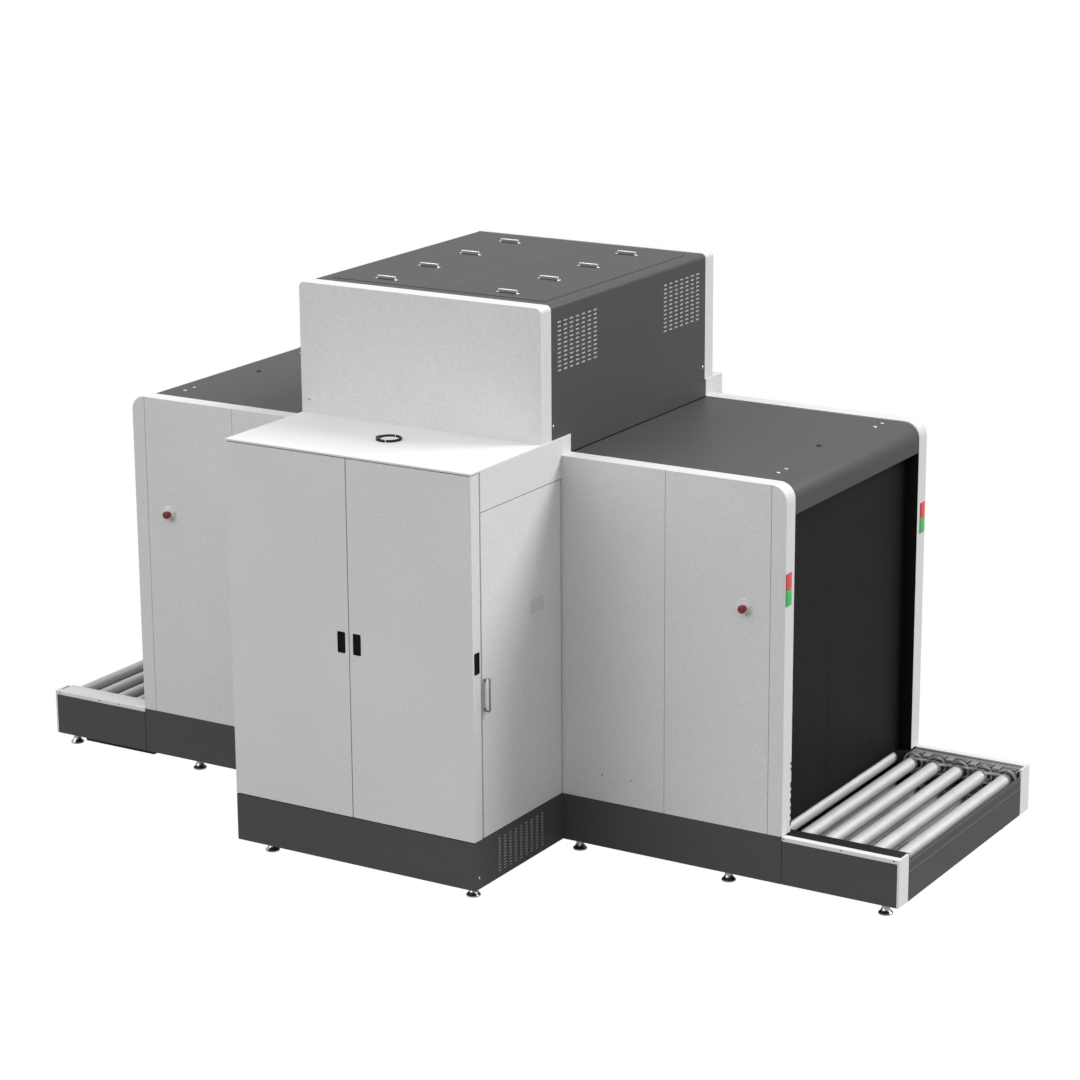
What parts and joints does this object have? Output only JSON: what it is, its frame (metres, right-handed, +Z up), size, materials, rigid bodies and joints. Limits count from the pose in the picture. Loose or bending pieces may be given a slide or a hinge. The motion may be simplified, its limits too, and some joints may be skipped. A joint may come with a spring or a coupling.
{
  "type": "baggage x-ray scanner",
  "caption": "Tunnel x-ray scanner for baggage and pallets: hooded tunnel with lead curtains, powered roller tables, operator's cabinet and upper housing.",
  "frame": {"origin": "on the floor, below the middle of the whole machine's bounding box", "axes": "+X along the tunnel, +Y from the cabinet towards the rear, +Z up"},
  "size_m": [5.75, 2.798, 3.223],
  "materials": {
    "grey_coat": "fine-textured powder coat",
    "white_coat": "fine-textured powder coat",
    "dark_coat": "fine-textured powder coat",
    "skirt_coat": "fine-textured powder coat",
    "rail_metal": "satin",
    "roller_metal": "satin zinc plate",
    "pan_metal": "bright sheet",
    "chain_metal": "oiled steel",
    "foot_metal": "zinc plate",
    "lead_rubber": "matt",
    "black_plastic": "fine grain",
    "red_lens": "smooth",
    "green_lens": "smooth",
    "stop_red": "smooth",
    "stop_plate": "smooth",
    "handle_metal": "polished"
  },
  "bodies": {
    "machine": {"front_panels": "grey_coat", "rear_panels": "grey_coat", "hood_roofs": "dark_coat", "tunnel_walls": "grey_coat", "beam_housing": "dark_coat", "rear_cover": "grey_coat", "plinths": "skirt_coat", "cabinet_posts": "white_coat", "cabinet_headers": "grey_coat", "cabinet_top": "white_coat", "cable_gland": "black_plastic", "upper_panels": "grey_coat", "upper_cover": "dark_coat", "upper_grilles": "dark_coat", "roof_lids": "dark_coat", "lid_handles": "handle_metal", "plinth_grilles": "skirt_coat", "base_frame": "skirt_coat", "side_skirts": "skirt_coat", "table_rails": "rail_metal", "end_skirts": "skirt_coat", "levelling_feet": "foot_metal", "drive_guard": "skirt_coat", "roller_beds": "black_plastic", "roller_axles": "roller_metal", "roller_pan": "pan_metal", "tunnel_rollers": "roller_metal", "curtain_rails": "skirt_coat", "red_lamps": "red_lens", "green_lamps": "green_lens", "stop_bases": "stop_plate", "roller_chains": "chain_metal"},
    "front_door_right": {"front_door_right": "grey_coat", "door_pulls_right": "black_plastic"},
    "front_door_left": {"front_door_left": "grey_coat", "door_pulls_left": "black_plastic"},
    "side_door_right": {"side_door_right": "grey_coat", "side_handle_right": "handle_metal"},
    "side_door_left": {"side_door_left": "grey_coat", "side_handle_left": "handle_metal"},
    "roller_right_1": {"roller_right_1": "roller_metal"},
    "roller_right_2": {"roller_right_2": "roller_metal"},
    "roller_right_3": {"roller_right_3": "roller_metal"},
    "roller_right_4": {"roller_right_4": "roller_metal"},
    "roller_right_5": {"roller_right_5": "roller_metal"},
    "roller_left_1": {"roller_left_1": "roller_metal"},
    "roller_left_2": {"roller_left_2": "roller_metal"},
    "roller_left_3": {"roller_left_3": "roller_metal"},
    "roller_left_4": {"roller_left_4": "roller_metal"},
    "roller_left_5": {"roller_left_5": "roller_metal"},
    "curtain_right": {"curtain_right": "lead_rubber"},
    "curtain_left": {"curtain_left": "lead_rubber"},
    "stop_head_right": {"stop_head_right": "stop_red"},
    "stop_head_left": {"stop_head_left": "stop_red"}
  },
  "joints": [
    {"name": "front_door_right_hinge", "type": "hinge", "parent": "machine", "child": "front_door_right", "pos_m": [0.783, -1.323, 1.4], "axis": [0, 0, 1], "range_deg": [0, 90]},
    {"name": "front_door_left_hinge", "type": "hinge", "parent": "machine", "child": "front_door_left", "pos_m": [-0.783, -1.323, 1.4], "axis": [0, 0, -1], "range_deg": [0, 90]},
    {"name": "side_door_right_hinge", "type": "hinge", "parent": "machine", "child": "side_door_right", "pos_m": [0.783, -0.488, 1.29], "axis": [0, 0, 1], "range_deg": [0, 80]},
    {"name": "side_door_left_hinge", "type": "hinge", "parent": "machine", "child": "side_door_left", "pos_m": [-0.783, -0.488, 1.29], "axis": [0, 0, -1], "range_deg": [0, 80]},
    {"name": "roller_right_1_spin", "type": "hinge", "parent": "machine", "child": "roller_right_1", "pos_m": [2.803, 0.413, 0.322], "axis": [0, 1, 0], "continuous": true},
    {"name": "roller_right_2_spin", "type": "hinge", "parent": "machine", "child": "roller_right_2", "pos_m": [2.657, 0.413, 0.322], "axis": [0, 1, 0], "continuous": true},
    {"name": "roller_right_3_spin", "type": "hinge", "parent": "machine", "child": "roller_right_3", "pos_m": [2.511, 0.413, 0.322], "axis": [0, 1, 0], "continuous": true},
    {"name": "roller_right_4_spin", "type": "hinge", "parent": "machine", "child": "roller_right_4", "pos_m": [2.365, 0.413, 0.322], "axis": [0, 1, 0], "continuous": true},
    {"name": "roller_right_5_spin", "type": "hinge", "parent": "machine", "child": "roller_right_5", "pos_m": [2.219, 0.413, 0.322], "axis": [0, 1, 0], "continuous": true},
    {"name": "roller_left_1_spin", "type": "hinge", "parent": "machine", "child": "roller_left_1", "pos_m": [-2.803, 0.413, 0.322], "axis": [0, 1, 0], "continuous": true},
    {"name": "roller_left_2_spin", "type": "hinge", "parent": "machine", "child": "roller_left_2", "pos_m": [-2.657, 0.413, 0.322], "axis": [0, 1, 0], "continuous": true},
    {"name": "roller_left_3_spin", "type": "hinge", "parent": "machine", "child": "roller_left_3", "pos_m": [-2.511, 0.413, 0.322], "axis": [0, 1, 0], "continuous": true},
    {"name": "roller_left_4_spin", "type": "hinge", "parent": "machine", "child": "roller_left_4", "pos_m": [-2.365, 0.413, 0.322], "axis": [0, 1, 0], "continuous": true},
    {"name": "roller_left_5_spin", "type": "hinge", "parent": "machine", "child": "roller_left_5", "pos_m": [-2.219, 0.413, 0.322], "axis": [0, 1, 0], "continuous": true},
    {"name": "curtain_right_swing", "type": "hinge", "parent": "machine", "child": "curtain_right", "pos_m": [2.097, 0.413, 2.169], "axis": [0, -1, 0], "range_deg": [-60, 60]},
    {"name": "curtain_left_swing", "type": "hinge", "parent": "machine", "child": "curtain_left", "pos_m": [-2.097, 0.413, 2.169], "axis": [0, 1, 0], "range_deg": [-60, 60]},
    {"name": "stop_right_push", "type": "slide", "parent": "machine", "child": "stop_head_right", "axis": [0, 1, 0], "range_m": [0, 0.004]},
    {"name": "stop_left_push", "type": "slide", "parent": "machine", "child": "stop_head_left", "axis": [0, 1, 0], "range_m": [0, 0.004]}
  ],
  "couplings": [
    {"joint": "roller_right_2_spin", "follows": "roller_right_1_spin", "ratio": 1},
    {"joint": "roller_right_3_spin", "follows": "roller_right_1_spin", "ratio": 1},
    {"joint": "roller_right_4_spin", "follows": "roller_right_1_spin", "ratio": 1},
    {"joint": "roller_right_5_spin", "follows": "roller_right_1_spin", "ratio": 1},
    {"joint": "roller_left_2_spin", "follows": "roller_left_1_spin", "ratio": 1},
    {"joint": "roller_left_3_spin", "follows": "roller_left_1_spin", "ratio": 1},
    {"joint": "roller_left_4_spin", "follows": "roller_left_1_spin", "ratio": 1},
    {"joint": "roller_left_5_spin", "follows": "roller_left_1_spin", "ratio": 1}
  ]
}
